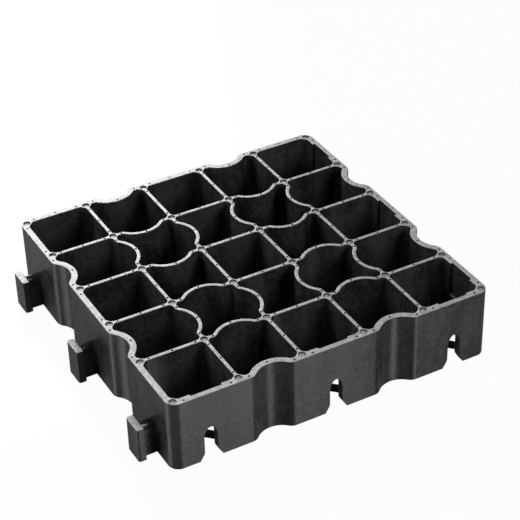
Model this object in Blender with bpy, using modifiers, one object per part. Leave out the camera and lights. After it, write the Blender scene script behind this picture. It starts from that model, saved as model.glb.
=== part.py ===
"""Grass grid paver: one moulded tile of open cells with straight and bowed walls.

The tile lies flat with its foot on z = 0. The middle of its whole outline,
keys included, is over the origin.
The front (-Y) and right (+X) sides have notches, the left (-X) and back (+Y)
sides have T keys, so tiles laid side by side hook into one another.
Run with: blender --background --python part.py
"""
import math

import bmesh
import bpy
from mathutils import Matrix, Vector

# Grid
CELLS = 5
PITCH = 0.048
HEIGHT = 0.055
TILE_GAP = 0.0006

# Walls, with the outer face measured from the outer line of posts
INNER_WALL = 0.0028
RIM_WALL = 0.0048
SLOT_WALL = 0.0057
RIM_OUT = 0.0047
OUTER_CORNER_RADIUS = 0.0062
OUTER_CORNER_STEPS = 6

# Posts: a round recess in the top, and a rounded slant across each cell corner
RECESS_DIAMETER = 0.0055
RECESS_DEPTH = 0.0012
RECESS_SIDES = 16
RECESS_LIP = 0.0008
LEAST_CORNER_LEG = 0.002
CORNER_ROUND = 0.003
CORNER_STEPS = 2

# Bowed walls: a straight stub at each post, a bend, then one round arc
BOW_RISE = 0.0071
BOW_STUB = 0.0019
TIGHT_BEND = 0.0018
BEND_STEPS = 3
ARC_STEPS = 14

# Thinned stretch inside each slotted wall, from its top to a sill over the notch
POCKET_CUT = 0.0019
POCKET_WIDTH = 0.023
POCKET_SILL = 0.001

# Notch through the foot of each slotted wall
NOTCH_WIDTH = 0.01
NOTCH_SPRING = 0.0182
NOTCH_RISE = 0.0088
ARCH_STEPS = 6
FLARE_WIDTH = 0.0037
FLARE_HEIGHT = 0.006
FLARE_BEND = 0.005
FLARE_STEPS = 3

# T keys that hook into the next tile's notches
STEM_CLEARANCE = 0.0006
KEY_PLAY = 0.0031
HEAD_HOLD = 0.0035
HEAD_FOOT_THICKNESS = 0.0058
HEAD_TOP_THICKNESS = 0.0053
HEAD_EDGE = 0.001
HEAD_EDGE_STEPS = 2

# Low braces across the foot of the slotted cells
BRACE_WIDTH = 0.0042
BRACE_HEIGHT = 0.0042

# How far a cutter passes a face, and how far an added piece sinks into what carries it
OVERRUN = 0.002
SINK = 0.001

COLOR = (0.022, 0.022, 0.023, 1.0)
ROUGHNESS = 0.42
SMOOTH_ANGLE = math.radians(30.0)
WELD_DISTANCE = 0.00001

HALF_GRID = CELLS * PITCH / 2
POST_LEG = (RECESS_DIAMETER / 2 + RECESS_LIP) * math.sqrt(2)
BOW_START = POST_LEG + BOW_STUB
BOW_TURN = 2 * math.atan2(BOW_RISE, PITCH / 2 - BOW_START)
BEND_RADIUS = TIGHT_BEND + max(INNER_WALL / 2, RIM_WALL - RIM_OUT)
BOW_RADIUS = (PITCH / 2 - BOW_START) / math.sin(BOW_TURN) - BEND_RADIUS
STEM_REACH = TILE_GAP + SLOT_WALL + KEY_PLAY
KEY_REACH = STEM_REACH + HEAD_FOOT_THICKNESS
NOTCH_HEIGHT = NOTCH_SPRING + NOTCH_RISE
TILE_CENTRE = Vector((KEY_REACH, -KEY_REACH)) / 2

SOUTH = Vector((0, -1))
EAST = Vector((1, 0))
NORTH = Vector((0, 1))
WEST = Vector((-1, 0))


def left_of(direction):
    """The direction a quarter turn to the left."""
    return Vector((-direction.y, direction.x))


def node(column, row):
    """Centre of a post in plan."""
    return TILE_CENTRE + Vector((column * PITCH - HALF_GRID, row * PITCH - HALF_GRID))


def is_bowed(place):
    """Every second wall of a line is bowed."""
    return place % 2 == 1


def bow_direction(line, direction):
    """Bowed walls lean towards the middle of the tile."""
    return direction if line <= CELLS // 2 else -direction


def has_slots(side):
    return side in (SOUTH, EAST)


def inner_offset(side, line, place):
    """Distance of a cell's edge from its line of posts, into the cell."""
    if 0 < line < CELLS:
        return INNER_WALL / 2
    if has_slots(side) and not is_bowed(place):
        return SLOT_WALL - RIM_OUT
    return RIM_WALL - RIM_OUT


def arc(centre, radius, start, end, steps):
    """Points on an arc; the angle runs from +Y towards +X."""
    points = []
    for step in range(steps + 1):
        angle = start + (end - start) * step / steps
        points.append(centre + radius * Vector((math.sin(angle), math.cos(angle))))
    return points


def bow_profile(offset):
    """Points of a bowed edge: along the wall, and out of its line of posts."""
    first_bend = Vector((BOW_START, BEND_RADIUS))
    last_bend = Vector((PITCH - BOW_START, BEND_RADIUS))
    crown = Vector((PITCH / 2, BOW_RISE - BOW_RADIUS))
    bend = BEND_RADIUS - offset
    points = arc(first_bend, bend, math.pi, math.pi - BOW_TURN, BEND_STEPS)
    points += arc(crown, BOW_RADIUS + offset, -BOW_TURN, BOW_TURN, ARC_STEPS)[1:-1]
    points += arc(last_bend, bend, math.pi + BOW_TURN, math.pi, BEND_STEPS)
    return points


def edge_points(start, along, offset, bow):
    """Points between the two corners of one edge of a cell or of the rim.

    offset is measured to the left of along; bow is the direction in which
    the wall is bowed, or None where it is straight.
    """
    if bow is None:
        return []
    across = left_of(along)
    lean = 1 if bow.dot(across) > 0 else -1
    return [start + along * p.x + across * (lean * p.y) for p in bow_profile(lean * offset)]


def turn_points(centre, along, across, radius, start, end, steps):
    """Points on an arc that turns left; at angle 0 it runs along."""
    points = []
    for step in range(steps + 1):
        angle = start + (end - start) * step / steps
        points.append(centre + radius * (along * math.sin(angle) - across * math.cos(angle)))
    return points


def post_corner(corner, along, offset, next_offset, room):
    """A cell corner at a post: a slant across it, rounded at both of its ends.

    room is how far from the post the rounding may reach along a bowed wall.
    """
    across = left_of(along)
    leg = max(POST_LEG - offset - next_offset, LEAST_CORNER_LEG)
    tangent = CORNER_ROUND * math.tan(math.pi / 8)
    tangent = min(tangent, leg / math.sqrt(2), room - leg - max(offset, next_offset))
    radius = tangent / math.tan(math.pi / 8)
    meeting = corner + across * offset - along * next_offset
    first = meeting - along * (leg + tangent) + across * radius
    second = meeting + across * (leg + tangent) - along * radius
    points = turn_points(first, along, across, radius, 0, math.pi / 4, CORNER_STEPS)
    points += turn_points(second, along, across, radius, math.pi / 4, math.pi / 2, CORNER_STEPS)
    return points


def cell_outline(column, row):
    """Inner outline of one cell, anticlockwise from its near left post."""
    corners = [node(column, row), node(column + 1, row), node(column + 1, row + 1), node(column, row + 1)]
    alongs = [EAST, NORTH, WEST, SOUTH]
    lines = [row, column + 1, row + 1, column]
    places = [column, row, column, row]
    leans = [NORTH, EAST, NORTH, EAST]
    offsets = [inner_offset(-left_of(a), l, p) for a, l, p in zip(alongs, lines, places)]
    points = []
    for side in range(4):
        following = (side + 1) % 4
        bow = bow_direction(lines[side], leans[side]) if is_bowed(places[side]) else None
        points += edge_points(corners[side], alongs[side], offsets[side], bow)
        points += post_corner(corners[following], alongs[side], offsets[side], offsets[following], BOW_START)
    return points


def tile_outline():
    """Outer outline of the tile, which follows the bowed rim walls."""
    corners = [node(0, 0), node(CELLS, 0), node(CELLS, CELLS), node(0, CELLS)]
    alongs = [EAST, NORTH, WEST, SOUTH]
    points = []
    for side in range(4):
        along = alongs[side]
        across = left_of(along)
        for place in range(CELLS):
            start = corners[side] + along * PITCH * place
            points += edge_points(start, along, -RIM_OUT, across if is_bowed(place) else None)
        middle = corners[(side + 1) % 4] + (along - across) * (RIM_OUT - OUTER_CORNER_RADIUS)
        points += turn_points(middle, along, across, OUTER_CORNER_RADIUS, 0, math.pi / 2, OUTER_CORNER_STEPS)
    return points


def add_outline(curve, points):
    spline = curve.splines.new("POLY")
    spline.points.add(len(points) - 1)
    for target, point in zip(spline.points, points):
        target.co = (point.x, point.y, 0.0, 1.0)
    spline.use_cyclic_u = True


def extruded(name, outlines, thickness, matrix, collection):
    """A flat outline with holes, thickened and made a closed mesh object."""
    curve = bpy.data.curves.new(name + "_outline", "CURVE")
    curve.dimensions = "2D"
    curve.fill_mode = "BOTH"
    curve.extrude = thickness / 2
    for points in outlines:
        add_outline(curve, points)
    sketch = bpy.data.objects.new(name + "_outline", curve)
    sketch.matrix_world = matrix
    collection.objects.link(sketch)
    bpy.context.view_layer.update()
    evaluated = sketch.evaluated_get(bpy.context.evaluated_depsgraph_get())
    mesh = bpy.data.meshes.new_from_object(evaluated)
    mesh.name = name
    weld(mesh)
    mesh.shade_smooth()
    mesh.set_sharp_from_angle(angle=SMOOTH_ANGLE)
    solid = bpy.data.objects.new(name, mesh)
    solid.matrix_world = sketch.matrix_world
    collection.objects.link(solid)
    bpy.data.objects.remove(sketch)
    bpy.data.curves.remove(curve)
    return solid


def weld(mesh):
    """Join the loose caps of an extruded outline to its sides."""
    work = bmesh.new()
    work.from_mesh(mesh)
    bmesh.ops.remove_doubles(work, verts=work.verts, dist=WELD_DISTANCE)
    bmesh.ops.recalc_face_normals(work, faces=work.faces)
    work.to_mesh(mesh)
    work.free()


def as_helper(thing):
    """Mark an object that only shapes the tile."""
    thing.hide_render = True
    thing.display_type = "WIRE"


def facing(side, middle):
    """Frame on a rim wall: X along the wall, Y up, Z out of the tile."""
    along = left_of(side)
    turn = Matrix(((along.x, 0, side.x), (along.y, 0, side.y), (0, 1, 0))).to_4x4()
    return Matrix.Translation((middle.x, middle.y, 0)) @ turn


def rim_frames(slots):
    """Frames at the middle of the straight rim walls that carry slots, or keys."""
    starts = {"front": (node(0, 0), EAST, SOUTH), "right": (node(CELLS, 0), NORTH, EAST),
              "left": (node(0, 0), NORTH, WEST), "back": (node(0, CELLS), EAST, NORTH)}
    frames = []
    for name, (start, along, side) in starts.items():
        if has_slots(side) != slots:
            continue
        for place in range(CELLS):
            if not is_bowed(place):
                middle = start + along * PITCH * (place + 0.5)
                frames.append((name + str(place), facing(side, middle)))
    return frames


def notch_profile(half_width, spring, rise, foot):
    """Right to left over a round-headed opening; foot adds the points below its sides."""
    right = foot[:]
    for step in range(ARCH_STEPS + 1):
        angle = math.pi / 2 * step / ARCH_STEPS
        right.append(Vector((half_width * math.cos(angle), spring + rise * math.sin(angle))))
    left = [Vector((-p.x, p.y)) for p in reversed(right[:-1])]
    return right + left


def flared_foot():
    """Right side of the notch's foot: it slants outwards, with a rounded bend above the slant."""
    slant = math.atan2(FLARE_WIDTH, FLARE_HEIGHT)
    drop = FLARE_WIDTH * OVERRUN / FLARE_HEIGHT
    points = [Vector((NOTCH_WIDTH / 2 + FLARE_WIDTH + drop, -OVERRUN))]
    tangent = FLARE_BEND * math.tan(slant / 2)
    for step in range(FLARE_STEPS + 1):
        angle = slant * (1 - step / FLARE_STEPS)
        sideways = NOTCH_WIDTH / 2 + FLARE_BEND * (1 - math.cos(angle))
        points.append(Vector((sideways, FLARE_HEIGHT + tangent - FLARE_BEND * math.sin(angle))))
    return points


def add_notch_cutter(name, frame, collection):
    profile = notch_profile(NOTCH_WIDTH / 2, NOTCH_SPRING, NOTCH_RISE, flared_foot())
    centre = frame @ Matrix.Translation((0, 0, RIM_OUT - SLOT_WALL / 2))
    as_helper(extruded("notch_" + name, [profile], SLOT_WALL + 2 * OVERRUN, centre, collection))


def add_box(name, size, matrix, collection):
    mesh = bpy.data.meshes.new(name)
    work = bmesh.new()
    bmesh.ops.create_cube(work, size=1.0, matrix=Matrix.Diagonal((*size, 1)))
    work.to_mesh(mesh)
    work.free()
    box = bpy.data.objects.new(name, mesh)
    box.matrix_world = matrix
    collection.objects.link(box)
    as_helper(box)
    return box


def add_pocket_cutter(name, frame, collection):
    """Thins the inner side of a slotted wall from its top edge down to a sill."""
    depth = POCKET_CUT + OVERRUN
    foot = NOTCH_HEIGHT + POCKET_SILL
    height = HEIGHT + OVERRUN - foot
    centre = (0, foot + height / 2, RIM_OUT - SLOT_WALL + POCKET_CUT - depth / 2)
    add_box("pocket_" + name, (POCKET_WIDTH, height, depth), frame @ Matrix.Translation(centre), collection)


def add_recess_cutters(collection):
    """A shallow round recess in the top of every post."""
    height = RECESS_DEPTH + OVERRUN
    mesh = bpy.data.meshes.new("recess")
    work = bmesh.new()
    bmesh.ops.create_cone(work, cap_ends=True, segments=RECESS_SIDES, radius1=RECESS_DIAMETER / 2,
                          radius2=RECESS_DIAMETER / 2, depth=height)
    work.to_mesh(mesh)
    work.free()
    for column in range(CELLS + 1):
        for row in range(CELLS + 1):
            cutter = bpy.data.objects.new("recess", mesh)
            cutter.location = (*node(column, row), HEIGHT - RECESS_DEPTH + height / 2)
            collection.objects.link(cutter)
            as_helper(cutter)


def add_stem(name, frame, collection):
    """The part of a key that fits the notch, sunk into the wall and into the head."""
    half_width = NOTCH_WIDTH / 2 - STEM_CLEARANCE
    profile = notch_profile(half_width, NOTCH_SPRING, NOTCH_RISE - STEM_CLEARANCE, [Vector((half_width, 0))])
    centre = frame @ Matrix.Translation((0, 0, RIM_OUT + STEM_REACH / 2))
    as_helper(extruded("stem_" + name, [profile], STEM_REACH + 2 * SINK, centre, collection))


def add_head(name, frame, collection):
    """The plate of a key, thinner at its top; drawn in side view, then swung across the stem."""
    side_view = [Vector((-KEY_REACH, 0)), Vector((-STEM_REACH, 0)),
                 Vector((HEAD_TOP_THICKNESS - KEY_REACH, NOTCH_HEIGHT)), Vector((-KEY_REACH, NOTCH_HEIGHT))]
    centre = frame @ Matrix.Translation((0, 0, RIM_OUT)) @ Matrix.Rotation(math.pi / 2, 4, "Y")
    head = extruded("head_" + name, [side_view], NOTCH_WIDTH + 2 * HEAD_HOLD, centre, collection)
    edge = head.modifiers.new("moulded_edge", "BEVEL")
    edge.width = HEAD_EDGE
    edge.segments = HEAD_EDGE_STEPS
    as_helper(head)


def add_braces(collection):
    """A low rib runs corner to corner across the foot of each slotted cell."""
    last = CELLS - 1
    cells = {(place, 0) for place in range(CELLS) if not is_bowed(place)}
    cells |= {(last, place) for place in range(CELLS) if not is_bowed(place)}
    for column, row in sorted(cells):
        start = node(column, row + 1)
        end = node(column + 1, row)
        middle = (start + end) / 2
        run = end - start
        matrix = Matrix.Translation((middle.x, middle.y, BRACE_HEIGHT / 2))
        matrix @= Matrix.Rotation(math.atan2(run.y, run.x), 4, "Z")
        name = "brace_{}_{}".format(column, row)
        add_box(name, (run.length, BRACE_WIDTH, BRACE_HEIGHT), matrix, collection)


def plastic():
    material = bpy.data.materials.new("black_plastic")
    material.use_nodes = True
    shader = material.node_tree.nodes["Principled BSDF"]
    shader.inputs["Base Color"].default_value = COLOR
    shader.inputs["Roughness"].default_value = ROUGHNESS
    shader.inputs["Metallic"].default_value = 0.0
    return material


def add_boolean(thing, name, operation, operands):
    modifier = thing.modifiers.new(name, "BOOLEAN")
    modifier.operation = operation
    modifier.operand_type = "COLLECTION"
    modifier.collection = operands
    modifier.solver = "EXACT"


def new_collection(name):
    collection = bpy.data.collections.new(name)
    bpy.context.scene.collection.children.link(collection)
    return collection


def main():
    for thing in list(bpy.data.objects):
        bpy.data.objects.remove(thing)
    tile = new_collection("grass_grid_paver")
    cutters = new_collection("cutters")
    additions = new_collection("keys_and_braces")
    outlines = [tile_outline()]
    outlines += [cell_outline(column, row) for column in range(CELLS) for row in range(CELLS)]
    grid = extruded("grid_paver", outlines, HEIGHT, Matrix.Translation((0, 0, HEIGHT / 2)), tile)
    grid.data.materials.append(plastic())
    for name, frame in rim_frames(slots=True):
        add_notch_cutter(name, frame, cutters)
        add_pocket_cutter(name, frame, cutters)
    add_recess_cutters(cutters)
    for name, frame in rim_frames(slots=False):
        add_stem(name, frame, additions)
        add_head(name, frame, additions)
    add_braces(additions)
    add_boolean(grid, "cut_notches_pockets_recesses", "DIFFERENCE", cutters)
    add_boolean(grid, "add_keys_and_braces", "UNION", additions)


main()
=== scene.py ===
"""Looks of a black moulded grass grid paver: the finely rounded tile, its plastic, light and camera."""
import math

import bmesh
import bpy
from mathutils import Matrix, Quaternion, Vector


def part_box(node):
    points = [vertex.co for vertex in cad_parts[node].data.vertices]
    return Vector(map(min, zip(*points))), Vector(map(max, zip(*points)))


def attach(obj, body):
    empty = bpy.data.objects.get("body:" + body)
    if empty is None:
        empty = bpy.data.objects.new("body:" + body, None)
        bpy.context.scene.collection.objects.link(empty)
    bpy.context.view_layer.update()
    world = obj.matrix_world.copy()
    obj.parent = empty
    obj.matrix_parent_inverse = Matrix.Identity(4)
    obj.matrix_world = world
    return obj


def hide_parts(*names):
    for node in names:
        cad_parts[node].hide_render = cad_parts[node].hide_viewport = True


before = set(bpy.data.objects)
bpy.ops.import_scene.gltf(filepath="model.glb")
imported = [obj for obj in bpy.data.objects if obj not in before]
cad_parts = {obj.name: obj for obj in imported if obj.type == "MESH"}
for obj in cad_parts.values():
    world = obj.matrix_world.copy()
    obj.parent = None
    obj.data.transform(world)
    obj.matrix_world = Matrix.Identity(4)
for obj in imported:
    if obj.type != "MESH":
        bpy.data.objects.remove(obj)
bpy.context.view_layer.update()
LOW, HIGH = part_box("grid_paver")

MM = 0.001

# Keys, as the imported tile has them
STEM_CLEARANCE = 0.6 * MM
TILE_GAP = 0.6 * MM
KEY_PLAY = 3.1 * MM
HEAD_HOLD = 3.5 * MM
HEAD_FOOT_THICKNESS = 5.8 * MM
HEAD_TOP_THICKNESS = 5.3 * MM

# Walls; the tile's outer corners are rounder here than in the solid, as in the photograph
INNER_WALL = 2.8 * MM
RIM_WALL = 4.8 * MM
SLOT_WALL = 5.7 * MM
RIM_OUT = 4.7 * MM
OUTER_CORNER_RADIUS = 8.0 * MM

# Grid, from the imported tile's box
CELLS = 5
STEM_REACH = TILE_GAP + SLOT_WALL + KEY_PLAY
KEY_REACH = STEM_REACH + HEAD_FOOT_THICKNESS
HEIGHT = HIGH.z - LOW.z
PITCH = (HIGH.x - LOW.x - KEY_REACH - 2 * RIM_OUT) / CELLS
FIRST_POST = Vector((LOW.x + KEY_REACH + RIM_OUT, LOW.y + RIM_OUT))

# Posts
RECESS_DIAMETER = 5.5 * MM
RECESS_DEPTH = 1.2 * MM
RECESS_LIP = 0.8 * MM
CORNER_ROUND = 3.0 * MM

# Bowed walls
BOW_RISE = 7.1 * MM
BOW_STUB = 1.9 * MM
TIGHT_BEND = 1.8 * MM

# Notched walls
POCKET_CUT = 1.9 * MM
POCKET_WIDTH = 23.0 * MM
POCKET_SILL = 1.0 * MM
NOTCH_WIDTH = 10.0 * MM
NOTCH_SPRING = 18.2 * MM
NOTCH_RISE = 8.8 * MM
FLARE_WIDTH = 3.7 * MM
FLARE_HEIGHT = 6.0 * MM
FLARE_BEND = 5.0 * MM
BRACE_WIDTH = 4.2 * MM
BRACE_HEIGHT = 4.2 * MM

# Ejector pin marks along the wall tops
PIN_MARK_DIAMETER = 1.7 * MM
PIN_MARK_DEPTH = 1.5 * MM
PIN_MARK_PLACES = (0.14, 0.5, 0.86)

# Rounding of the moulded edges, and how finely round shapes are drawn
EDGE_ROUND = 0.4 * MM
HEAD_CORNER_ROUND = 1.7 * MM
EDGE_STEPS = 2
BEND_STEPS = 6
ARC_STEPS = 32
CORNER_STEPS = 4
OUTER_CORNER_STEPS = 12
ARCH_STEPS = 12
ROUND_SIDES = 28
PIN_SIDES = 12
HEAD_CORNER_STEPS = 5

# How far cutters run out of the tile, joined parts sink in, and what counts as smooth or touching
OVERRUN = 2.0 * MM
SINK = 1.0 * MM
SMOOTH_ANGLE = math.radians(40)
WELD_DISTANCE = 0.001 * MM

# Plastic: linear colours and gloss
SIDE_DARK = (0.008, 0.008, 0.0083, 1)
SIDE_LIGHT = (0.034, 0.034, 0.035, 1)
# Tops: a painted sheen, a lighter grey that stands in for the glare of the back light on the level faces
PAINTED_SHEEN_DARK = (0.2, 0.2, 0.201, 1)
PAINTED_SHEEN_LIGHT = (0.35, 0.35, 0.352, 1)
SIDE_ROUGHNESS = 0.28
TOP_ROUGHNESS = 0.32
ROUGHNESS_SPREAD = 0.05
PLASTIC_IOR = 1.5

# Plastic: its patterns in waves per metre, drawn out upwards for the flow streaks, and their shares
STREAK_SCALE = 55.0
CLOUD_SCALE = 35.0
MOTTLE_SCALE = 270.0
GRAIN_SCALE = 900.0
FINE_DETAIL = 3.0
MOTTLE_DETAIL = 2.0
FLOW_STRETCH = (1, 1, 0.08)
STREAK_SHARE = 0.4
CLOUD_SHARE = 0.3
MOTTLE_SHARE = 0.3
TONE_RANGE = (0.36, 0.64)
# Shares and range of the grain that breaks up the tops' painted sheen
SHEEN_GRAIN_SHARE = 0.6
SHEEN_MOTTLE_SHARE = 0.4
SHEEN_GRAIN_RANGE = (0.4, 0.6)

# Plastic: depth of its relief, and where the tops get their painted sheen and lower roughness: on level
# faces, from the tops of the keys up
WAVE_DEPTH = 0.25 * MM
CLOUD_RELIEF = 0.6
MOTTLE_DEPTH = 0.07 * MM
GRAIN_DEPTH = 0.03 * MM
LEVEL_RANGE = (0.6, 0.95)
TOP_FACE_HEIGHTS = (26.5 * MM, 26.8 * MM)

# Studio: the table, the room, and how much of the plain white the camera and reflections see
WHITE = (1, 1, 1, 1)
FLOOR_COLOR = (0.25, 0.25, 0.25, 1)
FLOOR_ROUGHNESS = 0.2
FLOOR_IOR = 2.0
FLOOR_REACH = 6.0
FLOOR_GLOW = 0.97
FLOOR_GLOSS_GLOW = 0.02
WORLD_LEVEL = 0.1
WORLD_GLOW = 1.0
WORLD_GLOSS_GLOW = 0.17

# Softboxes: name, azimuth, elevation, distance, size and power
SOFTBOXES = (
    ("back_softbox", 168, 28, 1.7, 0.8, 22),
    ("left_softbox", -104, 31, 1.7, 0.9, 21),
    ("front_softbox", 18, 31, 1.7, 0.65, 18.5),
)

# Camera, found by fitting the posts' places in the photograph, and the range that it sees in metres
CAMERA_FROM_NEAR_POST = Vector((-7.20, -15.95, 14.44))
CAMERA_HEADING = 28.29
CAMERA_DIP = 34.90
CAMERA_ROLL = -1.59
CAMERA_LENS = 117.28
CAMERA_NEAR = 0.05
CAMERA_FAR = 50.0

POST_LEG = (RECESS_DIAMETER / 2 + RECESS_LIP) * math.sqrt(2)
BOW_START = POST_LEG + BOW_STUB
BOW_TURN = 2 * math.atan2(BOW_RISE, PITCH / 2 - BOW_START)
BEND_RADIUS = TIGHT_BEND + INNER_WALL / 2
BOW_RADIUS = (PITCH / 2 - BOW_START) / math.sin(BOW_TURN) - BEND_RADIUS
NOTCH_HEIGHT = NOTCH_SPRING + NOTCH_RISE

SOUTH = Vector((0, -1))
EAST = Vector((1, 0))
NORTH = Vector((0, 1))
WEST = Vector((-1, 0))


def left_of(direction):
    """The direction a quarter turn to the left."""
    return Vector((-direction.y, direction.x))


def post(column, row):
    """Centre of a post in plan."""
    return FIRST_POST + Vector((column * PITCH, row * PITCH))


def is_bowed(place):
    """Every second wall of a line is bowed."""
    return place % 2 == 1


def bow_direction(line, direction):
    """Bowed walls lean towards the middle of the tile."""
    return direction if line <= CELLS // 2 else -direction


def inner_offset(side, line, place):
    """Distance of a cell's edge from its line of posts, into the cell."""
    if 0 < line < CELLS:
        return INNER_WALL / 2
    if side in (SOUTH, EAST) and not is_bowed(place):
        return SLOT_WALL - RIM_OUT
    return RIM_WALL - RIM_OUT


def arc(centre, along, across, radius, start, end, steps):
    """Points on an arc that turns from along towards across."""
    points = []
    for step in range(steps + 1):
        angle = start + (end - start) * step / steps
        points.append(centre + radius * (along * math.sin(angle) - across * math.cos(angle)))
    return points


def bowed_edge(start, along, offset, bow):
    """A bowed edge from post to post; offset is measured to the left of along."""
    across = left_of(along)
    lean = 1 if bow.dot(across) > 0 else -1
    out = across * lean
    shift = offset * lean
    bend = BEND_RADIUS - shift
    first = start + along * BOW_START + out * BEND_RADIUS
    last = start + along * (PITCH - BOW_START) + out * BEND_RADIUS
    crown = start + along * PITCH / 2 + out * (BOW_RISE - BOW_RADIUS)
    points = arc(first, along, out, bend, 0, BOW_TURN, BEND_STEPS)
    points += arc(crown, along, -out, BOW_RADIUS + shift, -BOW_TURN, BOW_TURN, ARC_STEPS)
    points += arc(last, along, out, bend, -BOW_TURN, 0, BEND_STEPS)
    return points


def post_corner(corner, along, offset, next_offset):
    """A cell corner at a post: a slant across it, rounded at both of its ends."""
    across = left_of(along)
    leg = POST_LEG - offset - next_offset
    tangent = CORNER_ROUND * math.tan(math.pi / 8)
    meeting = corner + across * offset - along * next_offset
    first = meeting - along * (leg + tangent) + across * CORNER_ROUND
    second = meeting + across * (leg + tangent) - along * CORNER_ROUND
    points = arc(first, along, across, CORNER_ROUND, 0, math.pi / 4, CORNER_STEPS)
    points += arc(second, along, across, CORNER_ROUND, math.pi / 4, math.pi / 2, CORNER_STEPS)
    return points


def cell_outline(column, row):
    """Inner outline of one cell, anticlockwise from its near left post."""
    corners = [post(column, row), post(column + 1, row), post(column + 1, row + 1), post(column, row + 1)]
    alongs = [EAST, NORTH, WEST, SOUTH]
    lines = [row, column + 1, row + 1, column]
    places = [column, row, column, row]
    leans = [NORTH, EAST, NORTH, EAST]
    offsets = [inner_offset(-left_of(a), l, p) for a, l, p in zip(alongs, lines, places)]
    points = []
    for side in range(4):
        following = (side + 1) % 4
        if is_bowed(places[side]):
            bow = bow_direction(lines[side], leans[side])
            points += bowed_edge(corners[side], alongs[side], offsets[side], bow)
        points += post_corner(corners[following], alongs[side], offsets[side], offsets[following])
    return points


def rim_outline():
    """Outer outline of the tile, which follows the bowed rim walls."""
    corners = [post(0, 0), post(CELLS, 0), post(CELLS, CELLS), post(0, CELLS)]
    points = []
    for side, along in enumerate((EAST, NORTH, WEST, SOUTH)):
        across = left_of(along)
        for place in range(CELLS):
            if is_bowed(place):
                points += bowed_edge(corners[side] + along * PITCH * place, along, -RIM_OUT, across)
        middle = corners[(side + 1) % 4] + (along - across) * (RIM_OUT - OUTER_CORNER_RADIUS)
        points += arc(middle, along, across, OUTER_CORNER_RADIUS, 0, math.pi / 2, OUTER_CORNER_STEPS)
    return points


def moulded(name, outlines, thickness, matrix, edge_round=0.0):
    """A flat outline with holes, given thickness and rounded edges, as a closed mesh object."""
    curve = bpy.data.curves.new(name, "CURVE")
    curve.dimensions = "2D"
    curve.fill_mode = "BOTH"
    curve.extrude = thickness / 2 - edge_round
    curve.bevel_depth = edge_round
    curve.bevel_resolution = EDGE_STEPS
    curve.offset = -edge_round
    for points in outlines:
        spline = curve.splines.new("POLY")
        spline.points.add(len(points) - 1)
        for target, point in zip(spline.points, points):
            target.co = (point.x, point.y, 0.0, 1.0)
        spline.use_cyclic_u = True
    sketch = bpy.data.objects.new(name, curve)
    bpy.context.scene.collection.objects.link(sketch)
    bpy.context.view_layer.update()
    mesh = bpy.data.meshes.new_from_object(sketch.evaluated_get(bpy.context.evaluated_depsgraph_get()))
    bpy.data.objects.remove(sketch)
    bpy.data.curves.remove(curve)
    mesh.transform(matrix)
    work = bmesh.new()
    work.from_mesh(mesh)
    bmesh.ops.remove_doubles(work, verts=work.verts, dist=WELD_DISTANCE)
    bmesh.ops.recalc_face_normals(work, faces=work.faces)
    work.to_mesh(mesh)
    work.free()
    return placed(name, mesh)


def placed(name, mesh):
    piece = bpy.data.objects.new(name, mesh)
    bpy.context.scene.collection.objects.link(piece)
    return piece


def from_bmesh(name, work):
    mesh = bpy.data.meshes.new(name)
    work.to_mesh(mesh)
    work.free()
    return placed(name, mesh)


def rounded(work, edges, radius, steps):
    """Rounds some edges."""
    bmesh.ops.bevel(work, geom=edges, offset=radius, segments=steps, profile=0.5, affect="EDGES", material=-1)


def block(name, size, matrix, edge_round=0.0):
    """A box with rounded edges."""
    work = bmesh.new()
    bmesh.ops.create_cube(work, size=1.0, matrix=matrix @ Matrix.Diagonal((*size, 1)))
    if edge_round:
        rounded(work, work.edges[:], edge_round, EDGE_STEPS)
    return from_bmesh(name, work)


def facing(side, middle):
    """Frame on a rim wall: X along the wall, Y up, Z out of the tile."""
    along = left_of(side)
    turn = Matrix(((along.x, 0, side.x), (along.y, 0, side.y), (0, 1, 0))).to_4x4()
    return Matrix.Translation((middle.x, middle.y, 0)) @ turn


def straight_rim_frames(sides):
    """Frames at the middle of the straight walls along some sides of the rim."""
    starts = {SOUTH.freeze(): (post(0, 0), EAST), EAST.freeze(): (post(CELLS, 0), NORTH),
              WEST.freeze(): (post(0, 0), NORTH), NORTH.freeze(): (post(0, CELLS), EAST)}
    frames = []
    for side in sides:
        start, along = starts[side]
        for place in range(0, CELLS, 2):
            frames.append(facing(side, start + along * PITCH * (place + 0.5)))
    return frames


def arched(half_width, spring, rise, foot):
    """Right to left over a round-headed shape; foot holds the points below its right side."""
    right = foot[:]
    for step in range(ARCH_STEPS + 1):
        angle = math.pi / 2 * step / ARCH_STEPS
        right.append(Vector((half_width * math.cos(angle), spring + rise * math.sin(angle))))
    left = [Vector((-p.x, p.y)) for p in reversed(right[:-1])]
    return right + left


def flared_foot():
    """Right side of the notch's foot: it slants outwards, with a rounded bend above the slant."""
    slant = math.atan2(FLARE_WIDTH, FLARE_HEIGHT)
    drop = FLARE_WIDTH * OVERRUN / FLARE_HEIGHT
    points = [Vector((NOTCH_WIDTH / 2 + FLARE_WIDTH + drop, -OVERRUN))]
    tangent = FLARE_BEND * math.tan(slant / 2)
    for step in range(BEND_STEPS + 1):
        angle = slant * (1 - step / BEND_STEPS)
        sideways = NOTCH_WIDTH / 2 + FLARE_BEND * (1 - math.cos(angle))
        points.append(Vector((sideways, FLARE_HEIGHT + tangent - FLARE_BEND * math.sin(angle))))
    return points


def notch_cutter(wall):
    profile = arched(NOTCH_WIDTH / 2, NOTCH_SPRING, NOTCH_RISE, flared_foot())
    centre = wall @ Matrix.Translation((0, 0, RIM_OUT - SLOT_WALL / 2))
    return moulded("notch", [profile], SLOT_WALL + 2 * OVERRUN, centre)


def pocket_cutter(wall):
    depth = POCKET_CUT + OVERRUN
    foot = NOTCH_HEIGHT + POCKET_SILL
    height = HEIGHT + OVERRUN - foot
    centre = (0, foot + height / 2, RIM_OUT - SLOT_WALL + POCKET_CUT - depth / 2)
    return block("pocket", (POCKET_WIDTH, height, depth), wall @ Matrix.Translation(centre))


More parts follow.
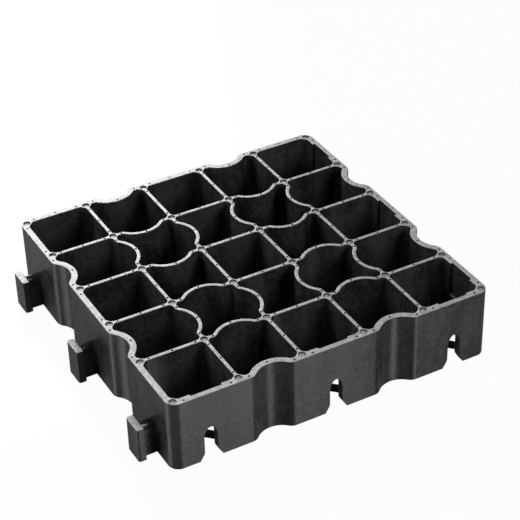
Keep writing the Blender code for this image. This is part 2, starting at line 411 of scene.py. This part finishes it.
def dimple_cutter(place, diameter, depth, sides):
    """Cuts a round dimple into a wall top."""
    height = depth + OVERRUN
    work = bmesh.new()
    centre = Matrix.Translation((place.x, place.y, HEIGHT - depth + height / 2))
    bmesh.ops.create_cone(work, cap_ends=True, segments=sides, radius1=diameter / 2, radius2=diameter / 2,
                          depth=height, matrix=centre)
    return from_bmesh("dimple", work)


def pin_mark_places():
    """Centres of the pin marks: near both ends and at the middle of the walls.

    The straight left walls and the notched walls have none at their middle, and the nearest left wall
    has none at all.
    """
    places = []
    for across, along in ((NORTH, EAST), (EAST, NORTH)):
        for line in range(CELLS + 1):
            for place in range(CELLS):
                start = post(place, line) if along is EAST else post(line, place)
                for share in PIN_MARK_PLACES:
                    shift = pin_mark_shift(across, line, place, share)
                    if shift is not None:
                        places.append(start + along * PITCH * share + across * shift)
    return places


def pin_mark_shift(across, line, place, share):
    """How far a pin mark is from its line of posts, or None where there is none."""
    if across is EAST and line == place == 0:
        return None
    at_middle = share == 0.5
    rise = 0.0
    if is_bowed(place) and at_middle:
        rise = BOW_RISE if line <= CELLS // 2 else -BOW_RISE
    if 0 < line < CELLS:
        return rise
    outwards = -1 if line == 0 else 1
    if at_middle and not is_bowed(place):
        notched = (across is NORTH and line == 0) or (across is EAST and line == CELLS)
        on_left = across is EAST and line == 0
        if notched or on_left:
            return None
    return rise + outwards * (RIM_OUT - RIM_WALL / 2)


def stem(wall):
    """The part of a key that fits the notch, sunk into the wall and into the head."""
    half_width = NOTCH_WIDTH / 2 - STEM_CLEARANCE
    profile = arched(half_width, NOTCH_SPRING, NOTCH_RISE - STEM_CLEARANCE, [Vector((half_width, 0))])
    centre = wall @ Matrix.Translation((0, 0, RIM_OUT + STEM_REACH / 2))
    return moulded("stem", [profile], STEM_REACH + 2 * SINK, centre)


def head(wall):
    """The plate of a key: thinner at its top, with well rounded outer corners."""
    work = bmesh.new()
    middle = RIM_OUT + KEY_REACH - HEAD_FOOT_THICKNESS / 2
    size = Matrix.Diagonal((NOTCH_WIDTH + 2 * HEAD_HOLD, NOTCH_HEIGHT, HEAD_FOOT_THICKNESS, 1))
    bmesh.ops.create_cube(work, size=1.0, matrix=Matrix.Translation((0, NOTCH_HEIGHT / 2, middle)) @ size)
    for vert in work.verts:
        if vert.co.z < middle and vert.co.y > NOTCH_HEIGHT / 2:
            vert.co.z += HEAD_FOOT_THICKNESS - HEAD_TOP_THICKNESS
    outer = [edge for edge in work.edges if all(vert.co.z > middle for vert in edge.verts)]
    upright = [edge for edge in outer if edge.calc_length() > NOTCH_HEIGHT - WELD_DISTANCE]
    rounded(work, upright, HEAD_CORNER_ROUND, HEAD_CORNER_STEPS)
    sharp = [edge for edge in work.edges if edge.calc_face_angle() > SMOOTH_ANGLE]
    rounded(work, sharp, EDGE_ROUND, EDGE_STEPS)
    work.transform(wall)
    return from_bmesh("head", work)


def braces():
    """Low ribs corner to corner across the foot of the notched cells."""
    last = CELLS - 1
    cells = {(place, 0) for place in range(0, CELLS, 2)} | {(last, place) for place in range(0, CELLS, 2)}
    made = []
    for column, row in sorted(cells):
        start = post(column, row + 1)
        end = post(column + 1, row)
        run = end - start
        middle = (start + end) / 2
        matrix = Matrix.Translation((middle.x, middle.y, BRACE_HEIGHT / 2))
        matrix @= Matrix.Rotation(math.atan2(run.y, run.x), 4, "Z")
        made.append(block("brace", (run.length, BRACE_WIDTH, BRACE_HEIGHT), matrix, EDGE_ROUND))
    return made


def combine(piece, others, operation):
    """Cuts or adds other shapes, keeps the result as the piece's own mesh and removes the others."""
    group = bpy.data.collections.new(operation.lower())
    bpy.context.scene.collection.children.link(group)
    for other in others:
        bpy.context.scene.collection.objects.unlink(other)
        group.objects.link(other)
    boolean = piece.modifiers.new(operation.lower(), "BOOLEAN")
    boolean.operation = operation
    boolean.operand_type = "COLLECTION"
    boolean.collection = group
    boolean.solver = "MANIFOLD"
    bpy.context.view_layer.update()
    evaluated = piece.evaluated_get(bpy.context.evaluated_depsgraph_get())
    mesh = bpy.data.meshes.new_from_object(evaluated)
    piece.modifiers.remove(boolean)
    piece.data = mesh
    for other in others:
        bpy.data.objects.remove(other)
    bpy.data.collections.remove(group)


def weld(mesh):
    """Joins points that touch, which takes out the slivers that cutting leaves."""
    work = bmesh.new()
    work.from_mesh(mesh)
    bmesh.ops.remove_doubles(work, verts=work.verts, dist=WELD_DISTANCE)
    bmesh.ops.dissolve_degenerate(work, edges=work.edges, dist=WELD_DISTANCE)
    work.to_mesh(mesh)
    work.free()


def tile():
    """The whole moulding as one closed mesh."""
    outlines = [rim_outline()]
    outlines += [cell_outline(column, row) for column in range(CELLS) for row in range(CELLS)]
    lifted = Matrix.Translation((0, 0, HEIGHT / 2))
    grid = moulded("moulded_grid", outlines, HEIGHT, lifted, EDGE_ROUND)
    keyed_walls = straight_rim_frames((WEST, NORTH))
    combine(grid, braces() + [stem(w) for w in keyed_walls] + [head(w) for w in keyed_walls], "UNION")
    notched_walls = straight_rim_frames((SOUTH, EAST))
    cutters = [notch_cutter(w) for w in notched_walls] + [pocket_cutter(w) for w in notched_walls]
    for column in range(CELLS + 1):
        for row in range(CELLS + 1):
            cutters.append(dimple_cutter(post(column, row), RECESS_DIAMETER, RECESS_DEPTH, ROUND_SIDES))
    for place in pin_mark_places():
        cutters.append(dimple_cutter(place, PIN_MARK_DIAMETER, PIN_MARK_DEPTH, PIN_SIDES))
    combine(grid, cutters, "DIFFERENCE")
    weld(grid.data)
    grid.data.shade_smooth()
    grid.data.set_sharp_from_angle(angle=SMOOTH_ANGLE)
    even = grid.modifiers.new("even_shading", "WEIGHTED_NORMAL")
    even.keep_sharp = True
    return grid


class Signal:
    """An output socket of a finish; arithmetic on it adds Math nodes."""

    def __init__(self, finish, socket):
        self.finish = finish
        self.socket = socket

    def __add__(self, other):
        return self.finish.math("ADD", self, other)

    __radd__ = __add__

    def __sub__(self, other):
        return self.finish.math("SUBTRACT", self, other)

    def __rsub__(self, other):
        return self.finish.math("SUBTRACT", other, self)

    def __mul__(self, other):
        return self.finish.math("MULTIPLY", self, other)

    __rmul__ = __mul__


class Finish:
    """The nodes of a material or of the studio's light."""

    def __init__(self, owner):
        owner.use_nodes = True
        self.owner = owner
        self.tree = owner.node_tree
        self.tree.nodes.clear()

    def node(self, kind, settings, inputs, output=0):
        """Adds a node: its settings first, then the values or links of its sockets."""
        made = self.tree.nodes.new(kind)
        for name, value in settings.items():
            setattr(made, name, value)
        for name, value in inputs.items():
            if isinstance(value, Signal):
                self.tree.links.new(value.socket, made.inputs[name])
            else:
                made.inputs[name].default_value = value
        return Signal(self, made.outputs[output])

    def math(self, operation, first, second):
        return self.node("ShaderNodeMath", {"operation": operation}, {0: first, 1: second})

    def surface(self, shader, output="ShaderNodeOutputMaterial"):
        """Ends the nodes with the finished shader."""
        end = self.tree.nodes.new(output)
        self.tree.links.new(shader.socket, end.inputs["Surface"])
        return self.owner

    def place(self, stretch=(1, 1, 1)):
        """Object coordinates, stretched."""
        spot = self.node("ShaderNodeTexCoord", {}, {}, "Object")
        return self.node("ShaderNodeMapping", {}, {"Vector": spot, "Scale": stretch})

    def noise(self, scale, detail, stretch=(1, 1, 1)):
        """Soft noise between 0 and 1; scale is in waves per metre."""
        inputs = {"Vector": self.place(stretch), "Scale": scale, "Detail": detail}
        return self.node("ShaderNodeTexNoise", {}, inputs, "Fac")

    def ramp(self, value, bounds):
        """0 below the lower bound and 1 above the upper one, with a smooth step between them."""
        low, high = bounds
        return self.node("ShaderNodeMapRange", {"interpolation_type": "SMOOTHSTEP"},
                         {"Value": value, "From Min": low, "From Max": high})

    def blend(self, share, first, second):
        """A colour between two."""
        inputs = {"Factor": share, "A": first, "B": second}
        return self.node("ShaderNodeMix", {"data_type": "RGBA"}, inputs, "Result")

    def relief(self, height, depth, below=None):
        """The surface's direction with a relief of this depth, laid over another one."""
        inputs = {"Strength": 1.0, "Distance": depth, "Height": height}
        if below is not None:
            inputs["Normal"] = below
        return self.node("ShaderNodeBump", {}, inputs, "Normal")

    def height(self):
        """Metres above the table."""
        return self.node("ShaderNodeSeparateXYZ", {}, {"Vector": self.place()}, "Z")

    def upward(self):
        """The vertical part of the surface's direction."""
        normal = self.node("ShaderNodeNewGeometry", {}, {}, "Normal")
        return self.node("ShaderNodeSeparateXYZ", {}, {"Vector": normal}, "Z")


def black_plastic():
    """Dull black moulding with upright flow streaks and a mottled, finely grained skin; its tops carry a
    painted sheen, a grainy lighter grey that stands in for the glare of the back light on them.
    """
    finish = Finish(bpy.data.materials.new("black_plastic"))
    above_key_tops = finish.ramp(finish.height(), TOP_FACE_HEIGHTS)
    top = finish.ramp(finish.upward(), LEVEL_RANGE) * above_key_tops
    streaks = finish.noise(STREAK_SCALE, FINE_DETAIL, FLOW_STRETCH)
    cloud = finish.noise(CLOUD_SCALE, FINE_DETAIL)
    mottle = finish.noise(MOTTLE_SCALE, MOTTLE_DETAIL)
    grain = finish.noise(GRAIN_SCALE, FINE_DETAIL)
    tone = finish.ramp(streaks * STREAK_SHARE + cloud * CLOUD_SHARE + mottle * MOTTLE_SHARE, TONE_RANGE)
    side_color = finish.blend(tone, SIDE_DARK, SIDE_LIGHT)
    # Painted sheen on the tops: a lighter grey in place of the back light's glare, broken up by grain and
    # mottle
    sheen_grain = finish.ramp(grain * SHEEN_GRAIN_SHARE + mottle * SHEEN_MOTTLE_SHARE, SHEEN_GRAIN_RANGE)
    painted_sheen_color = finish.blend(sheen_grain, PAINTED_SHEEN_DARK, PAINTED_SHEEN_LIGHT)
    roughness = SIDE_ROUGHNESS + (tone - 0.5) * ROUGHNESS_SPREAD - top * (SIDE_ROUGHNESS - TOP_ROUGHNESS)
    normal = finish.relief(streaks + cloud * CLOUD_RELIEF, WAVE_DEPTH)
    normal = finish.relief(mottle, MOTTLE_DEPTH, normal)
    normal = finish.relief(grain, GRAIN_DEPTH, normal)
    shader = finish.node("ShaderNodeBsdfPrincipled", {}, {
        "Base Color": finish.blend(top, side_color, painted_sheen_color), "Roughness": roughness, "Normal": normal,
        "IOR": PLASTIC_IOR}, "BSDF")
    return finish.surface(shader)


def seen_directly(finish, to_camera, to_reflection):
    """How much of the plain white is seen; light that falls on the object sees none of it."""
    camera = finish.node("ShaderNodeLightPath", {}, {}, "Is Camera Ray")
    glossy = finish.node("ShaderNodeLightPath", {}, {}, "Is Glossy Ray")
    through = finish.node("ShaderNodeLightPath", {}, {}, "Is Transmission Ray")
    return camera * to_camera + finish.math("MAXIMUM", glossy, through) * to_reflection


def pale_floor():
    """A smooth table that mirrors the softboxes; the camera sees it pale, with the tile's faint shadow."""
    finish = Finish(bpy.data.materials.new("pale_floor"))
    table = finish.node("ShaderNodeBsdfPrincipled", {}, {
        "Base Color": FLOOR_COLOR, "Roughness": FLOOR_ROUGHNESS, "IOR": FLOOR_IOR}, "BSDF")
    bright = finish.node("ShaderNodeEmission", {}, {"Color": WHITE, "Strength": 1.0}, "Emission")
    share = seen_directly(finish, FLOOR_GLOW, FLOOR_GLOSS_GLOW)
    mixed = finish.node("ShaderNodeMixShader", {}, {0: share, 1: table, 2: bright}, "Shader")
    return finish.surface(mixed)


def add_floor():
    work = bmesh.new()
    bmesh.ops.create_grid(work, x_segments=1, y_segments=1, size=FLOOR_REACH)
    floor = from_bmesh("floor", work)
    floor.data.materials.append(pale_floor())


def studio_light():
    """A dim white room, plain white to the camera and grey in reflections."""
    world = bpy.data.worlds.new("studio")
    finish = Finish(world)
    room = finish.node("ShaderNodeBackground", {}, {"Color": WHITE, "Strength": WORLD_LEVEL}, "Background")
    white = finish.node("ShaderNodeBackground", {}, {"Color": WHITE, "Strength": 1.0}, "Background")
    share = seen_directly(finish, WORLD_GLOW, WORLD_GLOSS_GLOW)
    mixed = finish.node("ShaderNodeMixShader", {}, {0: share, 1: room, 2: white}, "Shader")
    finish.surface(mixed, "ShaderNodeOutputWorld")
    bpy.context.scene.world = world


def add_softbox(name, azimuth, elevation, distance, size, power):
    """A square lamp that faces the tile; azimuth 0 is in front and 90 on the right."""
    lamp = bpy.data.lights.new(name, "AREA")
    lamp.shape = "SQUARE"
    lamp.size = size
    lamp.energy = power
    softbox = bpy.data.objects.new(name, lamp)
    heading = math.radians(azimuth)
    height = math.radians(elevation)
    level = math.cos(height)
    away = Vector((math.sin(heading) * level, -math.cos(heading) * level, math.sin(height)))
    softbox.location = away * distance
    softbox.rotation_mode = "QUATERNION"
    softbox.rotation_quaternion = away.to_track_quat("Z", "Y")
    bpy.context.scene.collection.objects.link(softbox)


def add_camera():
    heading = math.radians(CAMERA_HEADING)
    dip = math.radians(CAMERA_DIP)
    forward = Vector((math.sin(heading) * math.cos(dip), math.cos(heading) * math.cos(dip), -math.sin(dip)))
    near_post = Vector((*FIRST_POST, HEIGHT))
    data = bpy.data.cameras.new("camera")
    data.lens = CAMERA_LENS
    data.clip_start = CAMERA_NEAR
    data.clip_end = CAMERA_FAR
    camera = bpy.data.objects.new("camera", data)
    camera.location = near_post + CAMERA_FROM_NEAR_POST * PITCH
    camera.rotation_mode = "QUATERNION"
    roll = Quaternion((0, 0, 1), math.radians(CAMERA_ROLL))
    camera.rotation_quaternion = forward.to_track_quat("-Z", "Y") @ roll
    bpy.context.scene.collection.objects.link(camera)
    bpy.context.scene.camera = camera


def main():
    bpy.context.scene.view_settings.view_transform = "Standard"
    grid = tile()
    grid.data.materials.clear()
    grid.data.materials.append(black_plastic())
    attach(grid, "root")
    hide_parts("grid_paver")
    add_floor()
    studio_light()
    for softbox in SOFTBOXES:
        add_softbox(*softbox)
    add_camera()


main()
